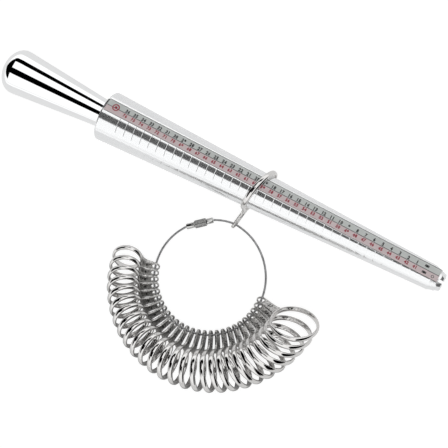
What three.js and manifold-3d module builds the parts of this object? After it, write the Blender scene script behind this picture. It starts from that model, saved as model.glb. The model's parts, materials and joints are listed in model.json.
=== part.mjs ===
// A ring mandrel with its set of finger gauges, lying flat on a table, in millimetres.
// +X runs along the mandrel towards its tip, +Z is up and the table is z = 0. The wire loop that
// carries the gauges lies on the -Y side, and the largest gauge hooks it to the mandrel.
import * as THREE from "three";
import { mergeVertices } from "three/addons/utils/BufferGeometryUtils.js";
import Module from "manifold-3d";

const wasm = await Module();
wasm.setup();

// ---- driving dimensions ----

const gap = 0.3; // between pieces that touch

// The size scale: inside diameter of a size, and how far apart the sizes stand on the mandrel.
const firstDiameter = 13;
const diameterStep = 1 / 3;
const sizePitch = 4.5;
const mandrelSizes = 36;

// mandrel body, from its shoulder at x = 0 to the tip
const shoulderToLastSize = 11;
const firstSizeToTip = 15.8;
const shoulderChamfer = 1;
const noseLength = 5.8;
const noseRadius = 4.15;
const flatHalfWidth = 3.55; // of the two milled flats that carry the scales
const flatRoll = 23; // degrees that the upper flat turns from straight up towards +Y
const slotWidth = 1.4; // saw cut across the tip
const slotDepth = 2.5;

// handle, from the shoulder to the end of its dome
const handleLength = 59.5;
const handleNeckRadius = 7;
const handleBulbRadius = 11.5;
const handleDomeDepth = 8;

// threaded stud that joins them
const studRadius = 3;
const studLength = 30;
const studInMandrel = 14;
const studClearance = 0.3;

// finger gauges
const gaugeCount = 28;
const bandWall = 1.3;
const bandWidth = 2.6;
const bandEdge = 0.5; // the wall's thickness at the edges of the domed band
const bandCrown = 0.5; // half the width of the dome's top
const tabThickness = 1.2;
const tabHalfWidth = 2.3;
const tabHoleRadius = 1.7;
const neckOfFirst = 6.6; // from the tab's hole to the outside of the band, on the smallest gauge
const neckGrowth = 0.14; // added for each size
const flareHalfWidth = 4.1; // where the tab widens into the band
const flareLength = 3.2;
const bandSegments = 28;

// wire loop, and the fan of gauges on it
const hangsAtSize = 61 / 3; // the size on the mandrel that the loop's centre stands beside
const wireHeight = 2.4;
const wireRadius = 0.55;
const loopRadius = 28;
const fanFirstAngle = -165; // degrees about the loop's centre, of gauge 1
const fanPitch = 6.5; // degrees from one gauge to the next
const tableClearance = 0.02;

// How far each gauge of the fan leans over, in degrees, and how far its tab is turned from pointing
// straight out of the loop: both least in the middle.
const uprightGauge = 16;
const leastLean = 5.5;
const firstLean = 44;
const lastLean = 43;
const firstLeanPower = 1.2;
const lastLeanPower = 1.4;
const firstTurn = 6;
const lastTurn = 11;
const turnPower = 1.4;

// the gauge that hooks round the mandrel
const hookHole = [91.6, 29.1]; // where it hangs on the loop: degrees about the centre, radius
const hookOffset = 0.3; // its centre, sideways from the mandrel's axis
const hookAhead = 5.23821; // how far its centre stands ahead of its hole, along the mandrel

// The wire's route round the loop, as [degrees about the centre, radius], from one ferrule to the other.
const wireRoute = [
  [142.6, 28.05], [152, 28], [162, 28], [172, 28], [183, 28], [195, 28], [210, 28], [225, 28],
  [240, 28], [255, 28], [270, 28], [285, 28], [300, 28], [315, 28], [330, 28], [345, 28], [360, 28],
  [372, 28], [384, 28], [396, 28], [408, 28.1], [420, 28.3], [432, 28.6], [443, 28.85],
  [451.6, 29.1], [461, 28.95], [468, 28.75], [473.2, 28.6],
];
const wireSides = 8;
const wireSteps = 80;

// screw connector that closes the loop
const ferruleRadius = 1.45;
const captiveFerruleLength = 4;
const sleeveRadius = 2.05;
const sleeveLength = 6;
const sleeveWall = 0.9; // end wall that keeps the captive ferrule's head in
const captiveNeckRadius = 0.7;
const captiveHeadLength = 1;
const threadRadius = 1;
const threadLength = 3;

// ---- materials ----

const metal = (color, roughness) =>
  new THREE.MeshStandardMaterial({ color, roughness, metalness: 1 });
const aluminium = metal(0xd5d7da, 0.25);
const chrome = metal(0xe6e8ea, 0.05);
const zincSteel = metal(0xb9bcc0, 0.4);
const nickel = metal(0xc9cac8, 0.15);
const wireSteel = metal(0x8d8f92, 0.45);
const plated = metal(0xc2c4c6, 0.2);

// ---- helpers ----

// A closed three.js geometry as a solid, and a solid as a geometry.
function solid(geometry) {
  const bare = geometry.index ? geometry.toNonIndexed() : geometry.clone();
  bare.deleteAttribute("normal");
  bare.deleteAttribute("uv");
  const merged = mergeVertices(bare, 1e-4);
  return new wasm.Manifold(new wasm.Mesh({
    numProp: 3,
    vertProperties: merged.attributes.position.array,
    triVerts: new Uint32Array(merged.index.array),
  }));
}

function geometryOf(manifold) {
  const { vertProperties, triVerts } = manifold.getMesh();
  const geometry = new THREE.BufferGeometry();
  geometry.setAttribute("position", new THREE.BufferAttribute(vertProperties, 3));
  geometry.setIndex(new THREE.BufferAttribute(triVerts, 1));
  return geometry.toNonIndexed();
}

// A turned shape about the X axis, from [x, radius] points that start and end on the axis.
function turned(points, segments) {
  const profile = points.map(([x, radius]) => new THREE.Vector2(radius, x));
  return new THREE.LatheGeometry(profile, segments).rotateZ(-Math.PI / 2);
}

const box = (lengths, centre) =>
  new THREE.BoxGeometry(...lengths).translate(...centre);

const rod = (radius, fromX, toX, segments) =>
  turned([[fromX, 0], [fromX, radius], [toX, radius], [toX, 0]], segments);

function piece(name, geometry, material) {
  const mesh = new THREE.Mesh(geometry, material);
  mesh.name = name;
  return mesh;
}

const radians = THREE.MathUtils.degToRad;

// ---- mandrel ----

const lastSizeX = shoulderToLastSize;
const firstSizeX = lastSizeX + (mandrelSizes - 1) * sizePitch;
const bodyLength = firstSizeX + firstSizeToTip;
const diameterOf = (size) => firstDiameter + (size - 1) * diameterStep;
const coneRadius = (x) => diameterOf(1 + (firstSizeX - x) / sizePitch) / 2;
const flatDepth = (x) => Math.sqrt(coneRadius(x) ** 2 - flatHalfWidth ** 2);
const axisHeight = coneRadius(shoulderChamfer);

// The waste that milling takes off one flat: a wedge whose inner face is the flat itself.
function flatWaste() {
  const top = 2 * coneRadius(0);
  const start = -1;
  const end = bodyLength + 1;
  const side = new THREE.Shape();
  side.moveTo(start, flatDepth(start));
  side.lineTo(end, flatDepth(end));
  side.lineTo(end, top);
  side.lineTo(start, top);
  return new THREE.ExtrudeGeometry(side, { depth: 2 * top, bevelEnabled: false })
    .translate(0, 0, -top)
    .rotateX(Math.PI / 2);
}

function makeMandrelBody() {
  const noseStart = bodyLength - noseLength;
  const blank = solid(turned([
    [0, 0],
    [0, coneRadius(0) - shoulderChamfer],
    [shoulderChamfer, coneRadius(shoulderChamfer)],
    [noseStart, coneRadius(noseStart)],
    [bodyLength, noseRadius],
    [bodyLength, 0],
  ], 64));
  const upperTurn = radians(-flatRoll);
  const upper = solid(flatWaste().rotateX(upperTurn));
  const lower = solid(flatWaste().rotateX(upperTurn + Math.PI));
  const slot = solid(box(
    [2 * slotDepth, slotWidth, 4 * noseRadius],
    [bodyLength, 0, 0],
  ));
  const studHole = solid(rod(studRadius + studClearance, -1, studInMandrel + studClearance, 24));
  const body = blank.subtract(upper).subtract(lower).subtract(slot).subtract(studHole);
  return piece("mandrel_body", geometryOf(body), aluminium);
}

// The grip: a straight taper that swells away from the shoulder into a quarter-ellipse dome.
function makeHandle() {
  const start = -gap;
  const bulb = -(handleLength - handleDomeDepth);
  const domeSteps = 9;
  const profile = [[start, 0], [start, handleNeckRadius], [bulb + 4, handleBulbRadius - 0.25]];
  for (let i = 0; i <= domeSteps; i++) {
    const turn = (i / domeSteps) * (Math.PI / 2);
    profile.push([
      bulb - handleDomeDepth * Math.sin(turn),
      i === domeSteps ? 0 : handleBulbRadius * Math.cos(turn),
    ]);
  }
  const blank = solid(turned(profile.reverse(), 40));
  const hole = rod(studRadius + studClearance, studInMandrel - studLength - studClearance, 1, 24);
  return piece("handle_grip", geometryOf(blank.subtract(solid(hole))), chrome);
}

function makeStud() {
  const rings = 14;
  const pitch = studLength / rings;
  const profile = [[studInMandrel - studLength, 0]];
  for (let i = 0; i < rings; i++) {
    const x = studInMandrel - studLength + i * pitch;
    profile.push([x, studRadius - 0.3], [x + pitch / 2, studRadius]);
  }
  profile.push([studInMandrel, studRadius - 0.3], [studInMandrel, 0]);
  return piece("joining_stud", turned(profile, 20), zincSteel);
}

// ---- finger gauges ----

const outerRadiusOf = (size) => diameterOf(size) / 2 + bandWall;
const neckOf = (size) => neckOfFirst + (size - 1) * neckGrowth;
const reachOf = (size) => neckOf(size) + outerRadiusOf(size); // hole to ring centre

// A gauge in its own frame: the tab's hole at the origin, the ring's centre on +X, Z through the bore.
function gaugeGeometry(size) {
  const outer = outerRadiusOf(size);
  const inner = outer - bandWall;
  const reach = reachOf(size);
  const halfBand = bandWidth / 2;
  const band = new THREE.LatheGeometry([
    new THREE.Vector2(inner, -halfBand),
    new THREE.Vector2(inner + bandEdge, -halfBand),
    new THREE.Vector2(outer, -bandCrown),
    new THREE.Vector2(outer, bandCrown),
    new THREE.Vector2(inner + bandEdge, halfBand),
    new THREE.Vector2(inner, halfBand),
    new THREE.Vector2(inner, -halfBand),
  ], bandSegments).rotateX(Math.PI / 2).translate(reach, 0, 0);

  const outline = new THREE.Shape();
  const neckEnd = reach - outer;
  outline.absarc(0, 0, tabHalfWidth, Math.PI / 2, (3 * Math.PI) / 2, false);
  outline.lineTo(neckEnd - flareLength, -tabHalfWidth);
  outline.quadraticCurveTo(neckEnd, -tabHalfWidth, neckEnd + bandWall - 0.1, -flareHalfWidth);
  outline.lineTo(neckEnd + bandWall - 0.1, flareHalfWidth);
  outline.quadraticCurveTo(neckEnd, tabHalfWidth, neckEnd - flareLength, tabHalfWidth);
  outline.closePath();
  const hole = new THREE.Path();
  hole.absarc(0, 0, tabHoleRadius, 0, 2 * Math.PI, true);
  outline.holes.push(hole);
  const tab = new THREE.ExtrudeGeometry(outline, {
    depth: tabThickness,
    bevelEnabled: false,
    curveSegments: 5,
  }).translate(0, 0, -tabThickness / 2);

  // the flare's corners are trimmed off where they would stand inside the bore
  const bore = solid(new THREE.CylinderGeometry(
    inner + 0.01, inner + 0.01, 2 * bandWidth, bandSegments,
  ).rotateX(Math.PI / 2).translate(reach, 0, 0));
  return geometryOf(solid(tab).subtract(bore).add(solid(band)));
}

// The loop's centre lies as far out as the hook gauge reaches from its ring round the mandrel.
const hookRise = outerRadiusOf(gaugeCount) + tableClearance - wireHeight;
const hookSideways = Math.sqrt(reachOf(gaugeCount) ** 2 - hookRise ** 2 - hookAhead ** 2);
const loopCentre = new THREE.Vector2(
  firstSizeX - (hangsAtSize - 1) * sizePitch,
  hookOffset - hookSideways - hookHole[1] * Math.sin(radians(hookHole[0])),
);

// Places a gauge by where its hole is, the way to its ring, and the direction of its width.
function placeGauge(mesh, hole, along, across) {
  const through = new THREE.Vector3().crossVectors(along, across);
  mesh.matrixAutoUpdate = false;
  mesh.matrix.makeBasis(along, across, through).setPosition(hole);
}

// Grows from least at the upright gauge to its value at either end of the fan.
function towardsEnds(size, least, first, last, firstPower, lastPower) {
  const left = size < uprightGauge;
  const span = left ? uprightGauge - 1 : gaugeCount - 1 - uprightGauge;
  const share = Math.abs(size - uprightGauge) / span;
  return radians(least + ((left ? first : last) - least) * share ** (left ? firstPower : lastPower));
}

const leanOf = (size) =>
  towardsEnds(size, leastLean, firstLean, lastLean, firstLeanPower, lastLeanPower);
const turnOf = (size) => towardsEnds(size, 0, firstTurn, lastTurn, turnPower, turnPower);

// The rise of a gauge's tab towards its ring, so that both just stand on the table.
function riseOf(size, lean) {
  const outer = outerRadiusOf(size);
  let rise = 0.3;
  for (let i = 0; i < 30; i++) {
    const ringHeight = outer * Math.hypot(Math.sin(rise), Math.cos(rise) * Math.cos(lean))
      + (bandWidth / 2) * Math.sin(lean) * Math.cos(rise) + tableClearance;
    rise = Math.asin((ringHeight - wireHeight) / reachOf(size));
  }
  return rise;
}

function makeFanGauge(size) {
  const angle = radians(fanFirstAngle + (size - 1) * fanPitch);
  const heading = angle - turnOf(size);
  const outward = new THREE.Vector3(Math.cos(heading), Math.sin(heading), 0);
  const sideways = new THREE.Vector3(-Math.sin(heading), Math.cos(heading), 0);
  const up = new THREE.Vector3(0, 0, 1);
  const lean = leanOf(size);
  const rise = riseOf(size, lean);
  const along = outward.clone().multiplyScalar(Math.cos(rise)).addScaledVector(up, Math.sin(rise));
  const upright = up.clone().multiplyScalar(Math.cos(rise)).addScaledVector(outward, -Math.sin(rise));
  const across = upright.multiplyScalar(Math.cos(lean)).addScaledVector(sideways, -Math.sin(lean));
  const hole = new THREE.Vector3(loopCentre.x, loopCentre.y, wireHeight)
    .add(new THREE.Vector3(Math.cos(angle), Math.sin(angle), 0).multiplyScalar(loopRadius));
  const mesh = piece(gaugeName(size), gaugeGeometry(size), nickel);
  placeGauge(mesh, hole, along, across);
  return mesh;
}

const gaugeName = (size) => "gauge_" + String(size).padStart(2, "0");

// The largest gauge stands on the table with its ring round the mandrel, its tab down at the wire.
function makeHookGauge(hole) {
  const along = new THREE.Vector3(hookAhead, hookSideways, hookRise).normalize();
  const level = new THREE.Vector3(along.y, -along.x, 0).normalize();
  const across = new THREE.Vector3().crossVectors(level, along);
  const mesh = piece(gaugeName(gaugeCount), gaugeGeometry(gaugeCount), nickel);
  placeGauge(mesh, hole, along, across);
  return mesh;
}

// ---- wire loop and its connector ----

const onLoop = ([degrees, radius]) => new THREE.Vector3(
  loopCentre.x + radius * Math.cos(radians(degrees)),
  loopCentre.y + radius * Math.sin(radians(degrees)),
  wireHeight,
);

function makeWire() {
  const section = new THREE.Shape();
  section.absarc(0, 0, wireRadius, 0, 2 * Math.PI, false);
  const geometry = new THREE.ExtrudeGeometry(section, {
    steps: wireSteps,
    curveSegments: wireSides / 2,
    extrudePath: new THREE.CatmullRomCurve3(wireRoute.map(onLoop), false, "centripetal"),
  });
  return piece("wire_cable", geometryOf(solid(geometry)), wireSteel);
}

// The connector along its own +X, from the wire's start (captive ferrule) to the wire's end.
function makeConnector(start, end) {
  const total = start.distanceTo(end) - 2 * gap;
  const sleeveStart = gap + captiveFerruleLength + gap;
  const sleeveEnd = sleeveStart + sleeveLength;
  const chamber = captiveNeckRadius + gap + 0.45;
  const headStart = sleeveStart + sleeveWall + gap;
  const headEnd = headStart + captiveHeadLength;

  const captive = turned([
    [gap, 0],
    [gap, ferruleRadius - 0.2],
    [gap + 0.2, ferruleRadius],
    [gap + captiveFerruleLength, ferruleRadius],
    [gap + captiveFerruleLength, captiveNeckRadius],
    [headStart, captiveNeckRadius],
    [headStart, chamber - gap],
    [headEnd, chamber - gap],
    [headEnd, 0],
  ], 24);

  const sleeve = turned([
    [sleeveStart, captiveNeckRadius + gap],
    [sleeveStart, sleeveRadius - 0.25],
    [sleeveStart + 0.25, sleeveRadius],
    [sleeveEnd - 0.25, sleeveRadius],
    [sleeveEnd, sleeveRadius - 0.25],
    [sleeveEnd, threadRadius + gap],
    [sleeveStart + sleeveWall, threadRadius + gap],
    [sleeveStart + sleeveWall, captiveNeckRadius + gap],
    [sleeveStart, captiveNeckRadius + gap],
  ], 32);

  const ferruleStart = sleeveEnd + gap;
  const ferruleEnd = gap + total;
  const threadStart = ferruleStart - threadLength;
  const thread = [[threadStart, 0]];
  const turns = 6;
  for (let i = 0; i < turns; i++) {
    const x = threadStart + (i * threadLength) / turns;
    thread.push([x, threadRadius - 0.2], [x + threadLength / turns / 2, threadRadius]);
  }
  const threaded = turned([
    ...thread,
    [ferruleStart, threadRadius - 0.2],
    [ferruleStart, ferruleRadius],
    [ferruleEnd - 0.2, ferruleRadius],
    [ferruleEnd, ferruleRadius - 0.2],
    [ferruleEnd, 0],
  ], 24);

  const group = new THREE.Group();
  group.add(
    piece("cable_end_captive", captive, plated),
    piece("connector_sleeve", sleeve, plated),
    piece("cable_end_threaded", threaded, plated),
  );
  group.position.copy(start);
  group.rotation.z = Math.atan2(end.y - start.y, end.x - start.x);
  return group;
}

// ---- assembly ----

const mandrel = new THREE.Group();
mandrel.position.z = axisHeight;
mandrel.add(makeMandrelBody(), makeHandle(), makeStud());

const loop = new THREE.Group();
for (let size = 1; size < gaugeCount; size++) loop.add(makeFanGauge(size));
loop.add(makeHookGauge(onLoop(hookHole)));
loop.add(makeWire());
loop.add(makeConnector(onLoop(wireRoute[0]), onLoop(wireRoute.at(-1))));

// The origin is under the middle of everything but the wire and its connector.
const ringMandrel = new THREE.Group();
ringMandrel.add(mandrel, loop);
ringMandrel.updateMatrixWorld(true);
const extent = new THREE.Box3();
for (const mesh of [...mandrel.children, ...loop.children.slice(0, gaugeCount)]) {
  extent.expandByObject(mesh, true);
}
ringMandrel.position.set(
  -(extent.min.x + extent.max.x) / 2,
  -(extent.min.y + extent.max.y) / 2,
  -extent.min.z,
);

export default ringMandrel;
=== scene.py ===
"""A ring mandrel lying flat, with its set of finger gauges on a wire loop hooked round it.

The file goes through the set as it is put together: table and light, mandrel, printed scales, stud and
handle, wire loop, screw connector, gauges. Sizes are in millimetres until a piece is made.
"""
import json
import math

import bmesh
import bpy
import numpy as np
from mathutils import Matrix, Vector
from mathutils.geometry import tessellate_polygon


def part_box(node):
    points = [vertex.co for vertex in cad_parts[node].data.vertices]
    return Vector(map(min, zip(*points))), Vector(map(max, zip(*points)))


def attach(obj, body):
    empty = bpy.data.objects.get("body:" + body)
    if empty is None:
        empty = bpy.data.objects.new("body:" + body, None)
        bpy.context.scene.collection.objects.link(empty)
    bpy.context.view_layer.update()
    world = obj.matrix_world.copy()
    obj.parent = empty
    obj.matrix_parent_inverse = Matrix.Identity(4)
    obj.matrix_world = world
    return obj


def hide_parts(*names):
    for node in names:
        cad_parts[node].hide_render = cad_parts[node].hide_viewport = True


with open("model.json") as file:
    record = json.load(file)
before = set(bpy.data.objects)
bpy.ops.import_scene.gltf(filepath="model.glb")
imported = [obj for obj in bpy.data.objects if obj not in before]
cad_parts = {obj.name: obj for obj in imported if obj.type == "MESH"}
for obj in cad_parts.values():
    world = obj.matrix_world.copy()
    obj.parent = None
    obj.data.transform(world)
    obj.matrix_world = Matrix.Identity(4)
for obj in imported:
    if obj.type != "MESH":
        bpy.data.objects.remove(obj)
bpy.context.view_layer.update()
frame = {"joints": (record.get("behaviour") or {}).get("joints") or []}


# ---------------------------------------------------------------------------------------------
# Camera, table and studio. The set lies on a white table inside a white tent, looked at from
# almost straight above. The tent has a few dark openings, which show as streaks in the metal.
# ---------------------------------------------------------------------------------------------

class Signal:
    """One output in a node tree. Arithmetic on it is written as Python and becomes Math nodes."""

    def __init__(self, tree, socket=None):
        self.tree, self.socket = tree, socket

    def node(self, kind, settings=None, sockets=None, output=0):
        """Adds a node of a type, sets its settings, then fills its sockets with values or links."""
        made = self.tree.nodes.new("ShaderNode" + kind)
        for name, value in (settings or {}).items():
            setattr(made, name, value)
        self.fill(made, sockets or {})
        return Signal(self.tree, made.outputs[output])

    def fill(self, made, sockets):
        """Gives a node's sockets their values, or the signals that feed them."""
        for name, value in sockets.items():
            if isinstance(value, Signal):
                self.tree.links.new(value.socket, made.inputs[name])
            else:
                made.inputs[name].default_value = value

    def sum(self, operation, other):
        """A Math node on this signal and another, in that order."""
        return self.node("Math", {"operation": operation}, {0: self, 1: other})

    def __add__(self, other): return self.sum("ADD", other)
    def __radd__(self, other): return self.sum("ADD", other)
    def __sub__(self, other): return self.sum("SUBTRACT", other)
    def __mul__(self, other): return self.sum("MULTIPLY", other)
    def __rmul__(self, other): return self.sum("MULTIPLY", other)

    def __rsub__(self, other):
        return self.node("Math", {"operation": "SUBTRACT"}, {0: other, 1: self})

    def above(self, edge, softness):
        """0 below an edge and 1 above it, with a smooth step as wide as the softness."""
        return self.node("MapRange", {"interpolation_type": "SMOOTHSTEP"}, {
            "Value": self, "From Min": edge - softness / 2, "From Max": edge + softness / 2})

    def between(self, low, high, softness):
        """1 between two edges and 0 outside them, with smooth steps."""
        return self.above(low, softness) * (1 - self.above(high, softness))

    def mix(self, first, second):
        """The first colour where this signal is 0 and the second where it is 1."""
        return self.node("Mix", {"data_type": "RGBA"}, {0: self, 6: first, 7: second}, output=2)

    def parts(self):
        """The X, Y and Z of a vector signal."""
        made = self.node("SeparateXYZ", {}, {0: self}).socket.node
        return [Signal(self.tree, out) for out in made.outputs]


def rgb(red, green, blue):
    return (red, green, blue, 1.0)


camera_lean, camera_turn = math.radians(12.5), math.radians(26.92)
camera_distance, camera_lens = 0.670, 111.18
aim_past_shoulder, aim_beside_axis, aim_height = 0.078, 0.02173, 0.0127

camera = bpy.data.objects.new("camera", bpy.data.cameras.new("camera"))
bpy.context.collection.objects.link(camera)
towards = Vector((math.sin(camera_lean), 0, math.cos(camera_lean)))
along_tool = Vector((math.cos(camera_lean), 0, -math.sin(camera_lean)))
across_tool = Vector((0, 1, 0))
right = along_tool * math.cos(camera_turn) + across_tool * math.sin(camera_turn)
up = across_tool * math.cos(camera_turn) - along_tool * math.sin(camera_turn)
bar_low, bar_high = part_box("mandrel_body")
aim = Vector((bar_low[0] + aim_past_shoulder, (bar_low[1] + bar_high[1]) / 2 - aim_beside_axis,
              aim_height))
camera.matrix_world = Matrix.Translation(aim + towards * camera_distance) @ Matrix(
    (right, up, towards)).transposed().to_4x4()
camera.data.lens = camera_lens
camera.data.sensor_width = 36
camera.data.clip_start = 0.01
bpy.context.scene.camera = camera
bpy.context.scene.view_settings.view_transform = "Standard"

world = bpy.data.worlds.new("studio")
bpy.context.scene.world = world
world.use_nodes = True
tent = Signal(world.node_tree)
looking = tent.node("TexCoord", output="Generated").parts()
# the way round the tool: 0 straight up, positive towards +Y, in degrees
round_tool = looking[1].sum("ARCTAN2", looking[2]) * (180 / math.pi)
above_floor = looking[2].above(0.02, 0.03)
overhead_gap = round_tool.between(-26, 3, 2.0)
side_gap = round_tool.between(38, 60, 2.0)
middle = looking[0].between(-0.66, 0.09, 0.06)
end_gap = (1 - looking[0].above(-0.44, 0.04)) * round_tool.between(-62, 56, 6.0)
tip_gap = looking[0].above(0.55, 0.04)
horizon_gap = round_tool.between(-84, -76, 8.0) * 0.15
dark = ((overhead_gap + side_gap) * middle + end_gap + tip_gap + horizon_gap).sum("MINIMUM", 1.0)
tent_strength = 1.15
brightness = tent_strength - dark * above_floor * tent_strength
tent.fill(world.node_tree.nodes["Background"], {"Color": rgb(1, 1, 1), "Strength": brightness})


def plain_mesh(name, points, faces):
    made = bpy.data.meshes.new(name)
    made.from_pydata([tuple(point) for point in points], [], faces)
    return made


table_half, table_drop = 3, 0.00005
# the last number is how far the painted shade under the fan darkens the table in reflections
table_glow, seen_glow, painted_fan_shade = 0.62, 0.25, 0.5
painted_shade_radius, painted_shade_edge = 0.066, -0.018  # reach of the painted shade under the fan, and its edge short of the mandrel
fan_centre = next(joint["pos_m"] for joint in frame["joints"] if joint["name"] == "ring_14_slide")
floor = bpy.data.objects.new("floor", plain_mesh("floor", [
    (x, y, -table_drop) for x, y in ((-table_half, -table_half), (table_half, -table_half),
                                     (table_half, table_half), (-table_half, table_half))],
    [(0, 1, 2, 3)]))
bpy.context.collection.objects.link(floor)
table_white = bpy.data.materials.new("table_white")
table_white.use_nodes = True
floor.data.materials.append(table_white)
table = Signal(table_white.node_tree)
# The table burns out to white where it is looked at directly. In reflections, a painted shade darkens
# it under the fan.
seen = table.node("LightPath")
spot = table.node("TexCoord", output="Object").parts()
fan_x, fan_y = spot[0] - fan_centre[0], spot[1] - fan_centre[1]
# painted shade: a disc under the fan, stopping short of the mandrel, where the table glows less in
# reflections
painted_shade_near_fan = ((1 - (fan_x * fan_x + fan_y * fan_y).above(painted_shade_radius ** 2, 0.002))
            * (1 - fan_y.above(painted_shade_edge, 0.015)))
table.fill(table_white.node_tree.nodes["Principled BSDF"], {
    "Base Color": rgb(0.3, 0.3, 0.3), "Roughness": 0.9, "Specular IOR Level": 0.0,
    "Emission Color": rgb(1, 1, 1),
    "Emission Strength": table_glow + seen * seen_glow - painted_shade_near_fan * (1 - seen) * painted_fan_shade})


# ---------------------------------------------------------------------------------------------
# Mandrel body. One aluminium bar turned to a straight taper and polished, with a fine ring cut
# at every size, a milled flat on top and another below, and a saw slot across its tip.
# ---------------------------------------------------------------------------------------------

mm = 0.001
first_diameter, diameter_step, size_pitch, sizes = 13.0, 1 / 3, 4.5, 36
shoulder_to_last_size, shoulder_chamfer = 11, 1.0
nose_length, nose_radius, nose_edge = 5.8, 4.15, 0.35
flat_half_width, flat_roll = 3.55, math.radians(23)
slot_width, slot_depth = 1.4, 2.5
ring_width, ring_depth = 0.7, 0.055
sharp_angle = 32  # degrees between faces, past which their edge stays crisp

low, high = (np.array(corner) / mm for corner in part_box("mandrel_body"))
axis = (low + high)[1:] / 2
shoulder_x, tip_x = low[0], high[0]
first_size_x = shoulder_x + shoulder_to_last_size + (sizes - 1) * size_pitch
nose_x = tip_x - nose_length


def size_x(size):
    return first_size_x - (size - 1) * size_pitch


def cone_radius(x):
    """Half the diameter of the size at x; it grows a third of a millimetre for each pitch."""
    return (first_diameter + (first_size_x - x) / size_pitch * diameter_step) / 2


def flat_depth(x):
    """Distance of the milled flats from the axis, which keeps their width the same all along."""
    return np.sqrt(cone_radius(x) ** 2 - flat_half_width ** 2)


def grid_faces(rows, columns, wrap):
    """Four-cornered faces of a grid of points; wrap says which directions close on themselves."""
    index = np.arange(rows * columns).reshape(rows, columns)
    if wrap[0]:
        index = np.vstack([index, index[:1]])
    if wrap[1]:
        index = np.hstack([index, index[:, :1]])
    return np.stack([index[:-1, :-1], index[1:, :-1], index[1:, 1:], index[:-1, 1:]], -1).reshape(-1, 4)


def piece(name, sheets, finishes, body, replaces=(), crease=sharp_angle):
    """Joins grids of points, in millimetres, into one mesh object that rides on a body.

    A sheet is (points, wrap, finish number). Each point joins the next in its row and column; wrap
    says which of the two directions close on themselves. Points that coincide, as at a pole, are
    merged, and a shell whose volume comes out negative is turned outside out.
    """
    made = bmesh.new()
    for points, wrap, finish in sheets:
        add_shell(made, points.reshape(-1, 3), grid_faces(*points.shape[:2], wrap), finish)
    return seal(name, made, finishes, body, replaces, crease)


def add_shell(made, points, faces, finish):
    """Adds one closed shell of points, in millimetres, and faces to a growing mesh."""
    shell = bpy.data.meshes.new("shell")
    shell.from_pydata((points * mm).tolist(), [], [list(face) for face in faces])
    part = bmesh.new()
    part.from_mesh(shell)
    bmesh.ops.remove_doubles(part, verts=part.verts, dist=2e-7)
    bmesh.ops.dissolve_degenerate(part, edges=part.edges, dist=1e-8)
    if part.calc_volume(signed=True) < 0:
        bmesh.ops.reverse_faces(part, faces=part.faces)
    for face in part.faces:
        face.material_index = finish
        face.smooth = True
    part.to_mesh(shell)
    part.free()
    made.from_mesh(shell)
    bpy.data.meshes.remove(shell)


def seal(name, made, finishes, body, replaces=(), crease=sharp_angle):
    """Turns a grown mesh into an object with its finishes, its body and its CAD nodes."""
    mesh = bpy.data.meshes.new(name)
    made.to_mesh(mesh)
    made.free()
    mesh.set_sharp_from_angle(angle=math.radians(crease))
    for finish in finishes:
        mesh.materials.append(finish)
    made_object = bpy.data.objects.new(name, mesh)
    bpy.context.collection.objects.link(made_object)
    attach(made_object, body)
    if replaces:
        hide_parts(*replaces)
    return made_object


def new_finish(name):
    """A new material, a signal to build on and its shader node."""
    made = bpy.data.materials.new(name)
    made.use_nodes = True
    return made, Signal(made.node_tree), made.node_tree.nodes["Principled BSDF"]


# Polished aluminium: turning leaves hair lines round the bar, and handling leaves a faint cloud.
polished_aluminium, bar, shader = new_finish("polished_aluminium")
place = bar.node("TexCoord", output="Object")
lines = bar.node("TexNoise", {}, {
    "Vector": bar.node("Mapping", {}, {"Vector": place, "Scale": (9000, 60, 60)}),
    "Scale": 1.0, "Detail": 3.0, "Roughness": 0.6})
cloud = bar.node("TexNoise", {}, {"Vector": place, "Scale": 45.0, "Detail": 4.0, "Roughness": 0.55})
bar.fill(shader, {
    "Base Color": cloud.mix(rgb(0.95, 0.955, 0.96), rgb(0.89, 0.9, 0.91)),
    "Metallic": 0.8,
    "Roughness": 0.06 + lines * 0.08 + cloud * 0.05,
    "Normal": bar.node("Bump", {}, {"Height": lines, "Strength": 0.06, "Distance": 0.00005}),
})


def ring_cut(x):
    """Depth of the fine rings: one wave of a cosine centred on every size, none between them."""
    offset = np.abs((x - first_size_x) / size_pitch
                    - np.clip(np.round((x - first_size_x) / size_pitch), 1 - sizes, 0)) * size_pitch
    return ring_depth * (1 + np.cos(2 * math.pi * np.clip(offset / ring_width, 0, 0.5))) / 2


def body_rows():
    """Places along the axis: close together across each ring, the chamfer and the nose."""
    across = np.linspace(-0.5, 0.5, 9) * ring_width
    rings = (size_x(np.arange(1, sizes + 1))[:, None] + across).ravel()
    chamfer = shoulder_x + shoulder_chamfer * np.array([0, 0.12, 0.35, 0.65, 0.9, 1.0, 1.3])
    between = size_x(np.arange(0.5, sizes, 1))
    nose = np.array([nose_x - 0.3, nose_x, nose_x + 0.3, nose_x + 3, tip_x - nose_edge, tip_x - 0.1,
                     tip_x])
    return np.unique(np.concatenate([rings, chamfer, between, nose]))


def body_radius(x):
    """The cone less its rings, rounded off at the shoulder, and cut by a steeper cone at the nose."""
    radius = cone_radius(x) - ring_cut(x)
    corner = np.clip(1 - (x - shoulder_x) / shoulder_chamfer, 0, 1)
    radius = radius - shoulder_chamfer * (1 - np.sqrt(1 - corner ** 2))
    nose = np.clip((x - nose_x) / nose_length, 0, 1)
    nose_cone = cone_radius(nose_x) + (nose_radius - cone_radius(nose_x)) * nose
    edge = 0.3 * np.clip((x - tip_x + nose_edge) / nose_edge, 0, 1) ** 2
    return np.where(nose > 0, nose_cone - edge, radius)


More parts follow.
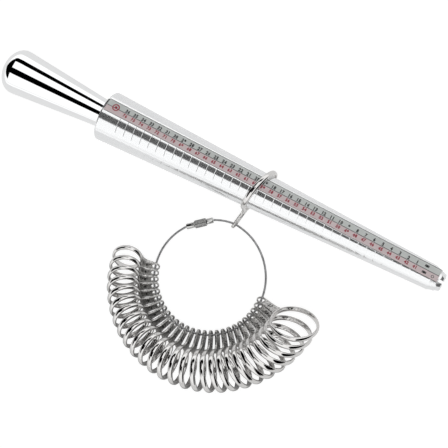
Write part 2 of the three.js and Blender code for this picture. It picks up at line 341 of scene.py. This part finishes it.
def body_section(x, radius):
    """Goes round a section: across the upper flat, round one side, across the lower flat, and back.

    The flats keep a fixed depth, so a flat ends where the circle of this radius meets that depth.
    """
    depth = np.minimum(flat_depth(x), radius)
    half = np.arccos(np.clip(depth / radius, 0, 1))[:, None]
    flat = np.linspace(-1, 1, 9)[:-1]
    side = np.linspace(0, 1, 57)[:-1]
    turns, lengths = [], []
    for start in (0, math.pi):
        sideways = np.tan(half) * flat * depth[:, None]
        turns.append(start + np.arctan2(sideways, depth[:, None]))
        lengths.append(np.hypot(sideways, depth[:, None]))
        turns.append(start + half + (math.pi - 2 * half) * side)
        lengths.append(np.broadcast_to(radius[:, None], (len(x), len(side))))
    return np.hstack(turns), np.hstack(lengths)


def at_axis(x, turn, length):
    """Points a length out from the mandrel's axis; turn 0 faces the upper flat, up is rolled to +Y."""
    angle = flat_roll - turn
    x = np.broadcast_to(x, np.shape(angle))
    return np.stack([x, axis[0] + length * np.sin(angle), axis[1] + length * np.cos(angle)], -1)


rows = body_rows()
turns, lengths = body_section(rows, body_radius(rows))
bar_points = at_axis(rows[:, None], turns, lengths)
shoulder_middle, tip_middle = (
    np.repeat(at_axis(x, np.zeros(1), np.zeros(1)), turns.shape[1], 0)[None]
    for x in (rows[0], rows[-1]))
shoulder_face = np.concatenate([
    shoulder_middle + (bar_points[:1] - shoulder_middle) * share for share in (0, 0.5, 0.97)])
bar_object = piece("bar", [(np.concatenate([shoulder_face, bar_points, tip_middle]), (False, True), 0)],
                   [polished_aluminium], "mandrel", ["mandrel_body"])


def cut_away(target, name, points, faces):
    """Cuts a solid, in millimetres, out of an object's mesh and keeps the finish of both."""
    tool = bpy.data.objects.new(name, plain_mesh(name, np.array(points) * mm, faces))
    bpy.context.collection.objects.link(tool)
    cut = target.modifiers.new("cut", "BOOLEAN")
    cut.operation, cut.solver, cut.object = "DIFFERENCE", "EXACT", tool
    bpy.context.view_layer.update()
    result = bpy.data.meshes.new_from_object(
        target.evaluated_get(bpy.context.evaluated_depsgraph_get()))
    target.modifiers.clear()
    result.set_sharp_from_angle(angle=math.radians(sharp_angle))
    result.name = target.data.name
    target.data = result
    bpy.data.objects.remove(tool)


def block(low_corner, high_corner):
    """Eight corners and six outward faces of a box."""
    corners = [(x, y, z) for x in (low_corner[0], high_corner[0])
               for y in (low_corner[1], high_corner[1]) for z in (low_corner[2], high_corner[2])]
    return corners, [(0, 1, 3, 2), (4, 6, 7, 5), (0, 4, 5, 1), (2, 3, 7, 6), (0, 2, 6, 4), (1, 5, 7, 3)]


saw_half = np.array([slot_depth, slot_width / 2, 8])
cut_away(bar_object, "saw", *block((tip_x, *axis) - saw_half, (tip_x, *axis) + saw_half))


# ---------------------------------------------------------------------------------------------
# Printed scales. Each flat carries a printed strip: sizes in black over the grey half, and the
# finger's circumference in red over the pink half, with thin black lines between and beside.
# ---------------------------------------------------------------------------------------------

strip_start, strip_end = shoulder_x + 1.1, tip_x - 2.6
strip_lift, strip_sunk, ink_lift = 0.03, 0.2, 0.05
number_height, number_past_mark, black_row, red_row = 1.9, 1.2, 1.3, -1.4
strip_spacing, stamp_spacing = 0.64, 0.72  # from one digit to the next, as a share of the height

printed_strip, print_, shader = new_finish("printed_strip")
place = print_.node("TexCoord", output="UV").parts()
grain = print_.node("TexNoise", {}, {
    "Vector": print_.node("TexCoord", output="Object"), "Scale": 900.0, "Detail": 2.0})
halves = place[1].above(0.5, 0.02).mix(rgb(0.8, 0.65, 0.66), rgb(0.7, 0.73, 0.71))
printed = (grain * 0.35).mix(halves, rgb(0.74, 0.74, 0.74))
line = place[1].between(0.478, 0.522, 0.01) + (1 - place[1].between(0.042, 0.958, 0.012))
print_.fill(shader, {
    "Base Color": line.sum("MINIMUM", 1.0).mix(printed, rgb(0.05, 0.055, 0.055)),
    "Metallic": 0.1,
    "Roughness": 0.38 + grain * 0.1,
})



def new_ink(name, full, worn):
    """Ink whose colour wavers between full and worn."""
    made, ink, shader = new_finish(name)
    wear = ink.node("TexNoise", {}, {
        "Vector": ink.node("TexCoord", output="Object"), "Scale": 1600.0, "Detail": 2.0})
    ink.fill(shader, {"Base Color": wear.mix(full, worn), "Roughness": 0.5})
    return made


black_ink = new_ink("black_ink", rgb(0.005, 0.005, 0.006), rgb(0.02, 0.02, 0.02))
red_ink = new_ink("red_ink", rgb(0.34, 0.01, 0.035), rgb(0.42, 0.03, 0.06))

glyphs = {}


def glyph(character):
    """A character's flat outline as points and faces, one unit tall, standing at its own centre."""
    if character not in glyphs:
        text = bpy.data.curves.new("glyph", "FONT")
        text.body, text.align_x, text.resolution_u = character, "CENTER", 3
        text.offset = 0.06
        holder = bpy.data.objects.new("glyph", text)
        bpy.context.collection.objects.link(holder)
        bpy.context.view_layer.update()
        flat = bpy.data.meshes.new_from_object(
            holder.evaluated_get(bpy.context.evaluated_depsgraph_get()))
        points = np.array([vertex.co[:2] for vertex in flat.vertices])
        low_point, high_point = points.min(0), points.max(0)
        points = (points - (low_point + high_point) / 2) / (high_point[1] - low_point[1])
        glyphs[character] = points, [list(face.vertices) for face in flat.polygons]
        bpy.data.objects.remove(holder)
        bpy.data.meshes.remove(flat)
        bpy.data.curves.remove(text)
    return glyphs[character]


def written(text, height, spacing):
    """Narrow characters in a row about one centre: points (x, y up) and faces, in millimetres."""
    points, faces, count = [], [], 0
    for order, character in enumerate(text):
        outline, polygons = glyph(character)
        shift = (order - (len(text) - 1) / 2) * spacing * height
        points.append(outline * height * [0.85, 1] + [shift, 0])
        faces += [[vertex + count for vertex in face] for face in polygons]
        count += len(outline)
    return np.concatenate(points), faces


def on_flat(x, sideways, lift, lower):
    """Points on the upper or the lower flat: along the bar, across the flat, and lifted off it."""
    depth = flat_depth(x) + lift
    turn = np.arctan2(-sideways, depth) + (math.pi if lower else 0)
    return at_axis(x, turn, np.hypot(sideways, depth))


def ink_marks(name, marks, finish):
    """All marks of one colour on both flats, as one thin piece. A mark is (points, faces)."""
    made = bmesh.new()
    for lower in (False, True):
        for points, faces in marks:
            top = on_flat(points[:, 0], points[:, 1], ink_lift, lower)
            verts = [made.verts.new(point) for point in top * mm]
            for face in faces:
                made.faces.new([verts[vertex] for vertex in face])
    return seal(name, made, [finish], "mandrel")


def strip(lower):
    """The strip as a thin sheet over a flat, with its width and length laid out for the print."""
    x = np.linspace(strip_start, strip_end, 60)
    side = np.array([-1.0, -0.5, 0.0, 0.5, 1.0]) * (flat_half_width - 0.04)
    points = on_flat(x[:, None], side[None, :], strip_lift, lower)
    under = on_flat(x[:, None], side[None, :], -strip_sunk, lower)
    made = piece("strip_lower" if lower else "strip_upper", [
        (np.concatenate([points, under[:, ::-1]], 1), (False, True), 0)],
        [printed_strip], "mandrel")
    layout = made.data.uv_layers.new(name="layout")
    corner = np.array([made.data.vertices[loop.vertex_index].co for loop in made.data.loops]) / mm
    up_flat = np.array([math.cos(flat_roll), -math.sin(flat_roll)]) * (-1 if lower else 1)
    across = (corner[:, 1:] - axis) @ up_flat / (2 * flat_half_width) + 0.5
    down = (corner[:, 0] - strip_start) / (strip_end - strip_start)
    layout.data.foreach_set("uv", np.stack([down, across], -1).ravel())
    return made


strip(lower=False)
strip(lower=True)


def turned_label(text, height, x, sideways):
    """A label at a place on the strip, read from the bar's side with its top across the flat."""
    points, faces = written(text, height, strip_spacing)
    return points + [x, sideways], faces


def ring_mark(x, sideways, inner, outer):
    """A flat ring between two radii, as points and faces."""
    angle = np.linspace(0, 2 * math.pi, 24, endpoint=False)
    circle = np.stack([np.cos(angle), np.sin(angle)], -1)
    here = np.arange(24)
    beside = np.roll(here, -1)
    return (np.concatenate([circle * inner, circle * outer]) + [x, sideways],
            np.stack([here, here + 24, beside + 24, beside], -1).tolist())


black_marks, red_marks = [], []
for size in range(1, sizes + 1):
    number_x = size_x(size) + number_past_mark
    black_marks.append(turned_label(str(size), number_height, number_x, black_row))
    red_marks.append(turned_label(str(40 + size), number_height - 0.1, number_x, red_row))
black_marks += [turned_label("mm", 1.2, shoulder_x + 174.6, sideways) for sideways in (1.75, -1.75)]
black_marks.append(ring_mark(shoulder_x + 179, -1.75, 0.5, 0.75))
red_marks += [ring_mark(shoulder_x + 6, 0.4, 1.3, 1.9), ring_mark(shoulder_x + 6, 0.4, 0.05, 0.75)]
ink_marks("size_numbers", black_marks, black_ink)
ink_marks("circumference_numbers", red_marks, red_ink)


# ---------------------------------------------------------------------------------------------
# Stud and handle. A threaded steel stud joins the bar to the handle, which is turned steel with a
# thick mirror chrome plating. The stud is out of sight inside both.
# ---------------------------------------------------------------------------------------------

zinc, plating, shader = new_finish("zinc_plated_steel")
spangle = plating.node("TexNoise", {}, {
    "Vector": plating.node("TexCoord", output="Object"), "Scale": 700.0, "Detail": 3.0})
plating.fill(shader, {"Base Color": spangle.mix(rgb(0.52, 0.53, 0.55), rgb(0.62, 0.63, 0.64)),
                      "Metallic": 1.0, "Roughness": 0.3 + spangle * 0.15})
stud = bpy.data.objects["joining_stud"]
stud.data.materials.clear()
stud.data.materials.append(zinc)

mirror_chrome, chrome, shader = new_finish("mirror_chrome")
place = chrome.node("TexCoord", output="Object")
haze = chrome.node("TexNoise", {}, {"Vector": place, "Scale": 120.0, "Detail": 5.0})
hairline = chrome.node("TexNoise", {}, {
    "Vector": chrome.node("Mapping", {}, {"Vector": place, "Scale": (2500, 120, 120)}),
    "Scale": 1.0, "Detail": 2.0})
chrome.fill(shader, {
    "Base Color": rgb(0.93, 0.935, 0.94),
    "Metallic": 1.0,
    "Roughness": 0.015 + haze * 0.03,
    "Normal": chrome.node("Bump", {}, {"Height": hairline, "Strength": 0.02, "Distance": 0.00002}),
})

handle_low, handle_high = (np.array(corner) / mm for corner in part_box("handle_grip"))
neck_radius, bulb_radius, dome_depth = 7.0, 11.5, 8.0
ease_length, ease_rise, neck_fillet = 4, 0.25, 1
neck_x, end_x = handle_high[0], handle_low[0]
bulb_x = end_x + dome_depth


def handle_profile():
    """Radius along the handle: a quarter circle, a straight swell, an ease and a quarter ellipse."""
    ease_x = bulb_x + ease_length
    straight = np.linspace(neck_x - neck_fillet - 0.1, ease_x, 30)
    swell = neck_radius + (bulb_radius - ease_rise - neck_radius) * (neck_x - straight) / (
        neck_x - ease_x)
    ease = np.linspace(0, 1, 10)[1:]
    fillet, quarter = np.linspace(0, math.pi / 2, 8), np.linspace(0, math.pi / 2, 40)[1:]
    x = np.concatenate([[neck_x], neck_x - neck_fillet * (1 - np.cos(fillet)), straight,
                        ease_x - ease_length * ease, bulb_x - dome_depth * np.sin(quarter)])
    radius = np.concatenate([[0], swell[0] - neck_fillet * (1 - np.sin(fillet)), swell,
                             bulb_radius - ease_rise * (1 - ease) ** 2,
                             bulb_radius * np.cos(quarter)])
    return x, radius


def turned(x, radius, sides, centre, direction=(1, 0, 0)):
    """Carries a profile, place along the axis against radius, round an axis through a centre."""
    forward = Vector(direction).normalized()
    across = forward.orthogonal().normalized()
    other = forward.cross(across)
    angle = np.linspace(0, 2 * math.pi, sides, endpoint=False)
    circle = np.cos(angle)[:, None] * np.array(across) + np.sin(angle)[:, None] * np.array(other)
    return (np.array(centre) + x[:, None, None] * np.array(forward)
            + radius[:, None, None] * circle[None])


handle_x, handle_radius = handle_profile()
piece("handle", [(turned(handle_x, handle_radius, 128, (0, *axis)), (False, True), 0)],
      [mirror_chrome], "mandrel", ["handle_grip"])


# ---------------------------------------------------------------------------------------------
# Wire loop. A length of fine steel rope, six strands laid round a seventh, that runs through the
# holes of all the gauges. Its two ends are crimped into the fittings of a screw connector.
# ---------------------------------------------------------------------------------------------

loop_centre = np.array(fan_centre) / mm
wire_radius, wire_steps = 0.55, 420
# Where the rope runs: degrees about the loop's centre, and distance from it.
wire_route = np.array([
    (142.6, 28.05), (152, 28), (162, 28), (172, 28), (183, 28), (195, 28), (210, 28), (225, 28),
    (240, 28), (255, 28), (270, 28), (285, 28), (300, 28), (315, 28), (330, 28), (345, 28), (360, 28),
    (372, 28), (384, 28), (396, 28), (408, 28.1), (420, 28.3), (432, 28.6), (443, 28.85),
    (451.6, 29.1), (461, 28.95), (468, 28.75), (473.2, 28.6)])


def smooth_route(points, count):
    """Even steps along a natural cubic spline through points, spaced by their distances apart."""
    stretch = np.linalg.norm(np.diff(points, axis=0), axis=1)
    knots = np.concatenate([[0], np.cumsum(stretch)])
    size = len(points)
    system = np.eye(size)
    pull = np.zeros_like(points)
    inner = np.arange(1, size - 1)
    system[inner, inner - 1], system[inner, inner] = stretch[:-1], 2 * (stretch[:-1] + stretch[1:])
    system[inner, inner + 1] = stretch[1:]
    slope = np.diff(points, axis=0) / stretch[:, None]
    pull[inner] = 6 * np.diff(slope, axis=0)
    bend = np.linalg.solve(system, pull)
    at = np.linspace(0, knots[-1], count)
    part = np.clip(np.searchsorted(knots, at, side="right") - 1, 0, size - 2)
    before, after = (at - knots[part])[:, None], (knots[part + 1] - at)[:, None]
    length = stretch[part][:, None]
    return ((bend[part] * after ** 3 + bend[part + 1] * before ** 3) / (6 * length)
            + (points[part] / length - bend[part] * length / 6) * after
            + (points[part + 1] / length - bend[part + 1] * length / 6) * before)


bearing = np.radians(wire_route[:, 0])
stations = np.stack([loop_centre[0] + wire_route[:, 1] * np.cos(bearing),
                     loop_centre[1] + wire_route[:, 1] * np.sin(bearing),
                     np.full(len(bearing), loop_centre[2])], -1)
wire_line = smooth_route(stations, wire_steps)
wire_length = np.linalg.norm(np.diff(wire_line, axis=0), axis=1).sum()


def carried(line, offsets, radius, sides):
    """A round tube whose centre keeps an offset (sideways, up) from a level line."""
    ahead = np.gradient(line, axis=0)
    ahead /= np.linalg.norm(ahead, axis=1)[:, None]
    sideways = np.stack([ahead[:, 1], -ahead[:, 0], np.zeros(len(line))], -1)
    upward = np.array([0.0, 0.0, 1.0])
    centre = line + sideways * offsets[:, :1] + upward * offsets[:, 1:]
    angle = np.linspace(0, 2 * math.pi, sides, endpoint=False)
    ring = (sideways[:, None] * np.cos(angle)[None, :, None]
            + upward * np.sin(angle)[None, :, None]) * radius
    tube = centre[:, None] + ring
    return np.concatenate([np.repeat(centre[:1, None], sides, 1), tube,
                           np.repeat(centre[-1:, None], sides, 1)])


steel_strand, strand, shader = new_finish("steel_strand")
place = strand.node("TexCoord", output="Object")
dirt = strand.node("TexNoise", {}, {"Vector": place, "Scale": 350.0, "Detail": 4.0})
wires = strand.node("TexNoise", {}, {"Vector": place, "Scale": 3500.0, "Detail": 2.0})
strand.fill(shader, {
    "Base Color": dirt.mix(rgb(0.28, 0.28, 0.285), rgb(0.72, 0.72, 0.73)),
    "Metallic": 1.0,
    "Roughness": 0.3 + wires * 0.2,
    "Normal": strand.node("Bump", {}, {"Height": wires, "Strength": 0.25, "Distance": 0.00004}),
})

strand_radius, core_radius, lay_length, strands = 0.183, 0.2, 5.0, 6
turned_by = np.linspace(0, wire_length, len(wire_line)) / lay_length * 2 * math.pi
strand_tubes = [(carried(wire_line, np.zeros((len(wire_line), 2)), core_radius, 6), (False, True), 0)]
for number in range(strands):
    angle = turned_by + number * 2 * math.pi / strands
    offset = (wire_radius - strand_radius) * np.stack([np.cos(angle), np.sin(angle)], -1)
    strand_tubes.append((carried(wire_line, offset, strand_radius, 8), (False, True), 0))
wire = piece("steel_rope", strand_tubes, [steel_strand], "loop", ["wire_cable"], 60)


# ---------------------------------------------------------------------------------------------
# Screw connector. Two plated brass fittings hold the rope's ends; a knurled sleeve that turns
# freely on one of them screws on to the thread of the other.
# ---------------------------------------------------------------------------------------------

bright_plating, plating, shader = new_finish("bright_plating")
haze = plating.node("TexNoise", {}, {
    "Vector": plating.node("TexCoord", output="Object"), "Scale": 600.0, "Detail": 4.0})
plating.fill(shader, {"Base Color": haze.mix(rgb(0.7, 0.7, 0.69), rgb(0.5, 0.5, 0.49)),
                      "Metallic": 1.0, "Roughness": 0.04 + haze * 0.08})
worn_plating, plating, shader = new_finish("worn_plating")
scuffs = plating.node("TexNoise", {}, {
    "Vector": plating.node("TexCoord", output="Object"), "Scale": 1800.0, "Detail": 3.0})
plating.fill(shader, {"Base Color": scuffs.mix(rgb(0.3, 0.3, 0.295), rgb(0.6, 0.6, 0.59)),
                      "Metallic": 1.0, "Roughness": 0.1 + scuffs * 0.15})

gap = 0.3
connector_start, connector_end = stations[0], stations[-1]
connector_length = np.linalg.norm(connector_end - connector_start)
connector_way = tuple(connector_end - connector_start)
captive_length, sleeve_length, sleeve_radius, ferrule_radius = 4.0, 6.0, 2.05, 1.45
captive_neck_radius, captive_head_radius, captive_head_length, sleeve_wall = 0.7, 1.15, 1, 0.9
thread_length, thread_radius, thread_root, thread_half_pitch = 3, 1.0, 0.8, 0.25
captive_from, captive_to = gap, gap + captive_length
sleeve_from = captive_to + gap
sleeve_to = sleeve_from + sleeve_length
threaded_from, threaded_to = sleeve_to + gap, connector_length - gap
head_from = sleeve_from + sleeve_wall + gap
head_to = head_from + captive_head_length


def fitting(name, profile, node):
    """A plated fitting on the rope's end: its profile carried round the connector's axis."""
    x, radius = np.array(profile).T
    return piece(name, [(turned(x, radius, 48, connector_start, connector_way), (False, True), 0)],
                 [bright_plating], "loop", [node], 40)


def crimped_end(outside, inward):
    """The rounded end that the rope goes into, from the axis outwards; inward is 1 or -1."""
    return [(outside, 0), (outside, ferrule_radius - 0.25),
            (outside + inward * 0.12, ferrule_radius - 0.07), (outside + inward * 0.3, ferrule_radius)]


captive = fitting("captive_fitting", [
    *crimped_end(captive_from, 1), (captive_to - 0.8, ferrule_radius),
    (captive_to - 0.7, ferrule_radius - 0.13), (captive_to - 0.5, ferrule_radius - 0.13),
    (captive_to - 0.4, ferrule_radius), (captive_to - 0.1, ferrule_radius),
    (captive_to, ferrule_radius - 0.1), (captive_to, captive_neck_radius),
    (head_from, captive_neck_radius), (head_from, captive_head_radius),
    (head_to, captive_head_radius), (head_to, 0)], "cable_end_captive")
thread_from = threaded_from - thread_length
thread = [(thread_from + thread_half_pitch * step, thread_radius if step % 2 else thread_root)
          for step in range(12)]
threaded = fitting("threaded_fitting", [
    (thread_from, 0), *thread, (threaded_from, thread_root), (threaded_from, ferrule_radius - 0.1),
    (threaded_from + 0.1, ferrule_radius), *crimped_end(threaded_to, -1)[::-1]],
    "cable_end_threaded")


def knurled_sleeve():
    """The sleeve's wall: a closed profile whose outer face is dented by two crossing spirals.

    The dent is the deeper of two triangle waves, one that winds left and one that winds right.
    """
    sides, knurls, slope, knurl_depth = 168, 21, 1.25, 0.2
    angle = np.linspace(0, 2 * math.pi, sides, endpoint=False)
    face = np.linspace(sleeve_from + 0.35, sleeve_to - 0.35, 49)
    way = face[:, None] * slope
    waves = [np.abs(((angle[None] * knurls / (2 * math.pi) + sign * way) % 1) - 0.5) * 2
             for sign in (-1, 1)]
    outer = sleeve_radius - knurl_depth * (1 - np.minimum(*waves))
    bore, mouth, rim = thread_radius + gap, captive_neck_radius + gap, sleeve_radius - knurl_depth
    before = [(sleeve_from + sleeve_wall, bore), (sleeve_from + sleeve_wall, mouth),
              (sleeve_from, mouth), (sleeve_from, rim - 0.1), (sleeve_from + 0.12, rim)]
    after = [(sleeve_to - 0.12, rim), (sleeve_to, rim - 0.1), (sleeve_to, bore)]
    x = np.array([p[0] for p in before] + list(face) + [p[0] for p in after])
    radius = np.concatenate([np.repeat([[p[1]] for p in before], sides, 1), outer,
                             np.repeat([[p[1]] for p in after], sides, 1)])
    forward = Vector(connector_way).normalized()
    across = forward.orthogonal().normalized()
    circle = (np.cos(angle)[:, None] * np.array(across)
              + np.sin(angle)[:, None] * np.array(forward.cross(across)))
    return (connector_start + x[:, None, None] * np.array(forward)
            + radius[:, :, None] * circle[None])


sleeve = piece("knurled_sleeve", [(knurled_sleeve(), (True, True), 0)], [worn_plating],
               "sleeve", ["connector_sleeve"], 25)
wire_length * mm
[tuple(p) for p in wire_line * mm]


# ---------------------------------------------------------------------------------------------
# Finger gauges. Each is a polished steel band brazed to a stamped tab, nickel plated all over. The
# tab's face keeps the grain of the stamping and carries the size. They stand in a fan on the wire.
# ---------------------------------------------------------------------------------------------

nickel, plate, shader = new_finish("nickel_plate")
place = plate.node("TexCoord", output="Object")
haze = plate.node("TexNoise", {}, {"Vector": place, "Scale": 260.0, "Detail": 4.0})
plate.fill(shader, {
    "Base Color": haze.mix(rgb(0.8, 0.79, 0.78), rgb(0.66, 0.65, 0.64)),
    "Metallic": 1.0,
    "Roughness": 0.05 + haze * 0.12,
})
grained, plate, shader = new_finish("grained_tab")
place = plate.node("TexCoord", output="Object")
grain = plate.node("TexNoise", {}, {"Vector": place, "Scale": 1500.0, "Detail": 4.0, "Roughness": 0.7})
plate.fill(shader, {
    "Base Color": (grain * 3.0 - 1.0).mix(rgb(0.2, 0.195, 0.19), rgb(0.95, 0.94, 0.92)),
    "Metallic": 1.0,
    "Roughness": 0.16 + grain * 0.25,
    "Normal": plate.node("Bump", {}, {"Height": grain, "Strength": 0.5, "Distance": 0.00012}),
})

gauge_count, band_wall, band_width, band_edge = 28, 1.3, 2.6, 0.5
tab_thickness, tab_half_width, tab_hole_radius, stamp_lift = 1.2, 2.3, 1.7, 0.015
neck_of_first, neck_growth, flare_half_width, flare_length = 6.6, 0.14, 4.1, 3.2
fan_first_angle, fan_pitch, loop_radius, table_clearance = -165, 6.5, 28, 0.02
upright_gauge = 16
leans = {"least": 5.5, "first": 44, "last": 43, "first_power": 1.2, "last_power": 1.4}
turns_aside = {"least": 0, "first": 6, "last": 11, "first_power": 1.4, "last_power": 1.4}
hook_angle, hook_radius, hook_offset = 91.6, 29.1, 0.3  # its hole on the loop, its ring on the bar


def outer_radius(size):
    return (first_diameter + (size - 1) * diameter_step) / 2 + band_wall


def gauge_reach(size):
    """From the tab's hole to the ring's centre."""
    return neck_of_first + (size - 1) * neck_growth + outer_radius(size)


def towards_ends(size, least, first, last, first_power, last_power):
    """An angle that is least at the upright gauge and grows as a power of the way to either end."""
    left = size < upright_gauge
    span = upright_gauge - 1 if left else gauge_count - 1 - upright_gauge
    share = abs(size - upright_gauge) / span
    most, power = (first, first_power) if left else (last, last_power)
    return math.radians(least + (most - least) * share ** power)


def fan_place(size):
    """Hole, way to the ring and way across, of a gauge that stands on the table and on the wire.

    The rise of the tab is found by repeated substitution, so that the ring just meets the table.
    """
    tilt = towards_ends(size, **leans)
    reach, outer = gauge_reach(size), outer_radius(size)
    rise = 0.3
    for _ in range(30):
        height = (outer * math.hypot(math.sin(rise), math.cos(rise) * math.cos(tilt))
                  + band_width / 2 * math.sin(tilt) * math.cos(rise) + table_clearance)
        rise = math.asin((height - loop_centre[2]) / reach)
    angle = math.radians(fan_first_angle + (size - 1) * fan_pitch)
    hole = loop_centre + loop_radius * np.array([math.cos(angle), math.sin(angle), 0])
    heading = angle - towards_ends(size, **turns_aside)
    outward = np.array([math.cos(heading), math.sin(heading), 0])
    sideways = np.array([-math.sin(heading), math.cos(heading), 0])
    upward = np.array([0, 0, 1.0])
    way = outward * math.cos(rise) + upward * math.sin(rise)
    upright = upward * math.cos(rise) - outward * math.sin(rise)
    return hole, way, upright * math.cos(tilt) - sideways * math.sin(tilt)


def hook_place():
    """The same for the largest gauge, upright with its ring round the mandrel."""
    angle = math.radians(hook_angle)
    hole = loop_centre + hook_radius * np.array([math.cos(angle), math.sin(angle), 0])
    ring_height = outer_radius(gauge_count) + table_clearance
    to_ring = np.array([0, axis[0] + hook_offset - hole[1], ring_height - hole[2]])
    to_ring[0] = math.sqrt(gauge_reach(gauge_count) ** 2 - to_ring[1] ** 2 - to_ring[2] ** 2)
    way = to_ring / np.linalg.norm(to_ring)
    level = np.array([way[1], -way[0], 0])
    return hole, way, np.cross(level / np.linalg.norm(level), way)


def band(size):
    """The band: a flat bore, thin rounded edges and an outside domed as half an ellipse."""
    inner, half = outer_radius(size) - band_wall, band_width / 2
    sweep = np.linspace(0, math.pi, 21)
    dome = np.stack([inner + band_edge + (band_wall - band_edge) * np.sin(sweep),
                     half * np.cos(sweep)], -1)
    inside = np.array([(inner + 0.12, -half), (inner + 0.03, -half + 0.03), (inner, -half + 0.12),
                       (inner, 0), (inner, half - 0.12), (inner + 0.03, half - 0.03),
                       (inner + 0.12, half)])
    radius, wide = np.concatenate([dome, inside]).T
    angle = np.linspace(0, 2 * math.pi, 96, endpoint=False)
    return np.stack([gauge_reach(size) + radius[None] * np.cos(angle)[:, None],
                     radius[None] * np.sin(angle)[:, None],
                     np.broadcast_to(wide, (96, len(wide)))], -1)


def tab_outline(size):
    """The tab's edge, from the flare on one side round its end to the flare on the other."""
    neck = gauge_reach(size) - outer_radius(size)
    t = np.linspace(0, 1, 9)
    start, bend = np.array([neck - flare_length, tab_half_width]), np.array([neck, tab_half_width])
    finish = np.array([neck + band_wall - 0.2, flare_half_width])
    flare = (start * ((1 - t) ** 2)[:, None] + bend * (2 * t * (1 - t))[:, None]
             + finish * (t ** 2)[:, None])
    angle = np.linspace(math.pi / 2, 3 * math.pi / 2, 25)
    end = tab_half_width * np.stack([np.cos(angle), np.sin(angle)], -1)
    return np.concatenate([flare[::-1], end, flare * [1, -1]])


def inset(loop, distance):
    """Moves each point of a closed loop inwards, square to the line through its neighbours."""
    along = np.roll(loop, -1, 0) - np.roll(loop, 1, 0)
    along /= np.linalg.norm(along, axis=1)[:, None]
    return loop + np.stack([-along[:, 1], along[:, 0]], -1) * distance


def tab_shell(size):
    """The tab's plate: rounded walls carried along its outline and its hole, and two flat faces."""
    half = tab_thickness / 2
    outline = tab_outline(size)
    angle = np.linspace(0, 2 * math.pi, 24, endpoint=False)
    hole = tab_hole_radius * np.stack([np.cos(angle), -np.sin(angle)], -1)
    levels = [(-half, 0.28), (-half + 0.08, 0.1), (-half + 0.26, 0.0), (half - 0.26, 0.0),
              (half - 0.08, 0.1), (half, 0.28)]
    points, faces, rims, count = [], [], [], 0
    for loop, share in ((outline, 1.0), (hole, 0.6)):
        for height, amount in levels:
            flat = inset(loop, amount * share)
            points.append(np.column_stack([flat, np.full(len(loop), height)]))
        walls = count + grid_faces(len(levels), len(loop), (False, True))
        faces += walls[:, ::-1].tolist()
        last_level = count + (len(levels) - 1) * len(loop)
        rims.append((count + np.arange(len(loop)), last_level + np.arange(len(loop))))
        count = last_level + len(loop)
    points = np.concatenate(points)
    for side in (0, 1):
        order = np.concatenate([rims[0][side], rims[1][side]])
        loops = [[Vector(points[i]) for i in rims[0][side]], [Vector(points[i]) for i in rims[1][side]]]
        for triangle in tessellate_polygon(loops):
            chosen = [int(order[i]) for i in triangle]
            faces.append(chosen if side else chosen[::-1])
    return points, faces


def stamped(size):
    """The size on both faces of the tab, read from the tab's end."""
    points, faces = written(str(size), number_height, stamp_spacing)
    middle = (gauge_reach(size) - outer_radius(size)) * 0.52 + 0.9
    shells = []
    for side in (1, -1):
        height = np.full(len(points), side * (tab_thickness / 2 + stamp_lift))
        shells.append((np.column_stack([points[:, 0] + middle, points[:, 1] * side, height]),
                       faces if side == 1 else [face[::-1] for face in faces]))
    return shells


for size in range(1, gauge_count + 1):
    hole_at, way, across = hook_place() if size == gauge_count else fan_place(size)
    through = np.cross(way, across)
    turned_to = np.stack([way, across, through])
    made = bmesh.new()
    ring = band(size)
    ring_faces = grid_faces(*ring.shape[:2], (True, True))
    add_shell(made, ring.reshape(-1, 3) @ turned_to + hole_at, ring_faces, 0)
    tab_points, tab_faces = tab_shell(size)
    add_shell(made, tab_points @ turned_to + hole_at, tab_faces, 1)
    for number_points, number_faces in stamped(size):
        verts = [made.verts.new(point) for point in (number_points @ turned_to + hole_at) * mm]
        for face in number_faces:
            made.faces.new([verts[vertex] for vertex in face]).material_index = 2
    node = f"gauge_{size:02d}"
    body = "hook_gauge" if size == gauge_count else f"ring_{size:02d}"
    seal("finger_" + node, made, [nickel, grained, black_ink], body, [node], 35)
